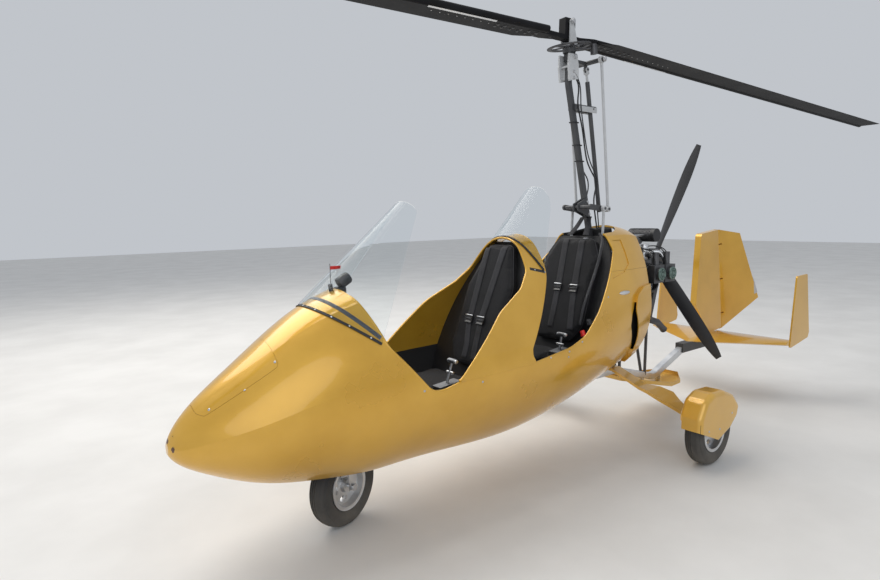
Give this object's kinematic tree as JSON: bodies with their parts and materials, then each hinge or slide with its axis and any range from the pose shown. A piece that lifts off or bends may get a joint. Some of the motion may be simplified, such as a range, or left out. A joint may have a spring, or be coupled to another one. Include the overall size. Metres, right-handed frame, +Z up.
{
  "type": "light gyroplane",
  "caption": "Two-seat tandem open gyroplane with a teetering rotor, pusher propeller, tricycle gear and a fin between end plates.",
  "frame": {"origin": "on the ground, under the middle of the rotor", "axes": "+X forward, +Y to port, +Z up"},
  "size_m": [8.3778, 1.707, 2.717],
  "materials": {
    "yellow_paint": "glossy golden yellow paint with a metallic sparkle",
    "black_paint": "satin black paint",
    "grey_paint": "light grey powder coat",
    "mast_grey": "dark grey satin paint",
    "bare_aluminium": "brushed bare metal",
    "engine_metal": "dark cast metal",
    "steel": "brushed steel",
    "tyre_rubber": "black rubber",
    "screen": "clear bent sheet",
    "seat_cover": "black padded cover",
    "floor_black": "black moulded liner"
  },
  "bodies": {
    "fuselage": {"hull": "yellow_paint", "seat_fairing": "yellow_paint", "engine_cowl": "yellow_paint", "wheel_fairings": "yellow_paint", "nose_hatch": "yellow_paint", "tailplane": "yellow_paint", "fin": "yellow_paint", "cockpit_floor": "floor_black", "cockpit_levers": "floor_black", "instrument_panel": "floor_black", "front_seat_shell": "floor_black", "rear_seat_shell": "floor_black", "front_seat_back": "seat_cover", "front_seat_cushion": "seat_cover", "rear_seat_back": "seat_cover", "rear_seat_cushion": "seat_cover", "front_windshield": "screen", "rear_windshield": "screen", "keel": "bare_aluminium", "tail_bracket": "black_paint", "mast": "mast_grey", "mast_head": "grey_paint", "gear_bow": "yellow_paint", "main_axles": "steel", "steering_head": "steel", "belly_tray": "yellow_paint", "engine": "engine_metal", "engine_frame": "mast_grey", "exhaust": "black_paint"},
    "wheel_left": {"main_left_tyre": "tyre_rubber", "main_left_rim": "bare_aluminium"},
    "wheel_right": {"main_right_tyre": "tyre_rubber", "main_right_rim": "bare_aluminium"},
    "nose_steering": {"nose_fork": "bare_aluminium"},
    "nose_wheel": {"nose_tyre": "tyre_rubber", "nose_rim": "bare_aluminium"},
    "propeller": {"propeller": "black_paint"},
    "rudder": {"rudder": "yellow_paint"},
    "rotor_head": {"rotor_head": "grey_paint", "prerotator": "steel"},
    "rotor_hub": {"ring_gear": "steel", "rotor_tower": "grey_paint"},
    "rotor": {"hub_bar": "black_paint", "rotor_blade_front": "black_paint", "rotor_blade_rear": "black_paint"},
    "push_rods": {"push_rods": "grey_paint"},
    "idler": {"idler_levers": "bare_aluminium"},
    "lower_rods": {"lower_rods": "grey_paint"},
    "trim_cylinder": {"trim_cylinder": "black_paint"},
    "trim_rod": {"trim_rod": "steel"}
  },
  "joints": [
    {"name": "wheel_left_spin", "type": "hinge", "parent": "fuselage", "child": "wheel_left", "pos_m": [-0.375, 0.78, 0.204], "axis": [0, 1, 0], "continuous": true},
    {"name": "wheel_right_spin", "type": "hinge", "parent": "fuselage", "child": "wheel_right", "pos_m": [-0.375, -0.78, 0.204], "axis": [0, 1, 0], "continuous": true},
    {"name": "nose_steer", "type": "hinge", "parent": "fuselage", "child": "nose_steering", "pos_m": [1.705, 0, 0.5], "axis": [0, 0, 1], "range_deg": [-45.71, 5.71]},
    {"name": "nose_wheel_spin", "type": "hinge", "parent": "nose_steering", "child": "nose_wheel", "pos_m": [1.68621, -0.00684, 0.204], "axis": [-0.342, 0.9397, 0], "continuous": true},
    {"name": "propeller_spin", "type": "hinge", "parent": "fuselage", "child": "propeller", "pos_m": [-0.985, 0, 1.188], "axis": [1, 0, 0], "continuous": true},
    {"name": "rudder_swing", "type": "hinge", "parent": "fuselage", "child": "rudder", "pos_m": [-2.041, 0, 0.528], "axis": [0.1386, 0, 0.9903], "range_deg": [-6, 48]},
    {"name": "head_tilt", "type": "hinge", "parent": "fuselage", "child": "rotor_head", "pos_m": [0, 0, 2.49], "axis": [0, -1, 0], "range_deg": [0, 16]},
    {"name": "rotor_spin", "type": "hinge", "parent": "rotor_head", "child": "rotor_hub", "pos_m": [0, 0, 2.49], "axis": [0.1219, 0, 0.9925], "continuous": true},
    {"name": "rotor_teeter", "type": "hinge", "parent": "rotor_hub", "child": "rotor", "pos_m": [0.02498, 0, 2.69347], "axis": [0.084, 0.9964, -0.0103], "range_deg": [-0.68, 18.32]},
    {"name": "push_rod_swing", "type": "hinge", "parent": "rotor_head", "child": "push_rods", "pos_m": [-0.15, 0, 2.474], "axis": [0, -1, 0], "range_deg": [-16, 0]},
    {"name": "idler_swing", "type": "hinge", "parent": "fuselage", "child": "idler", "pos_m": [-0.09, 0, 1.566], "axis": [0, -1, 0], "range_deg": [0, 16]},
    {"name": "lower_rod_swing", "type": "hinge", "parent": "idler", "child": "lower_rods", "pos_m": [-0.19824, 0, 1.55445], "axis": [0, -1, 0], "range_deg": [-16, 0]},
    {"name": "trim_swing", "type": "hinge", "parent": "fuselage", "child": "trim_cylinder", "pos_m": [-0.205, 0, 2.194], "axis": [0, 1, 0], "range_deg": [0, 6.85]},
    {"name": "trim_slide", "type": "slide", "parent": "trim_cylinder", "child": "trim_rod", "axis": [-0.1683, 0, -0.9857], "range_m": [0, 0.03812]}
  ],
  "couplings": [
    {"joint": "nose_steer", "follows": "rudder_swing", "ratio": -0.95238},
    {"joint": "push_rod_swing", "follows": "head_tilt", "ratio": -1},
    {"joint": "idler_swing", "follows": "head_tilt", "ratio": 1},
    {"joint": "lower_rod_swing", "follows": "head_tilt", "ratio": -1},
    {"joint": "trim_swing", "follows": "head_tilt", "ratio": 0.428},
    {"joint": "trim_slide", "follows": "head_tilt", "m_per_rad": 0.1365}
  ]
}
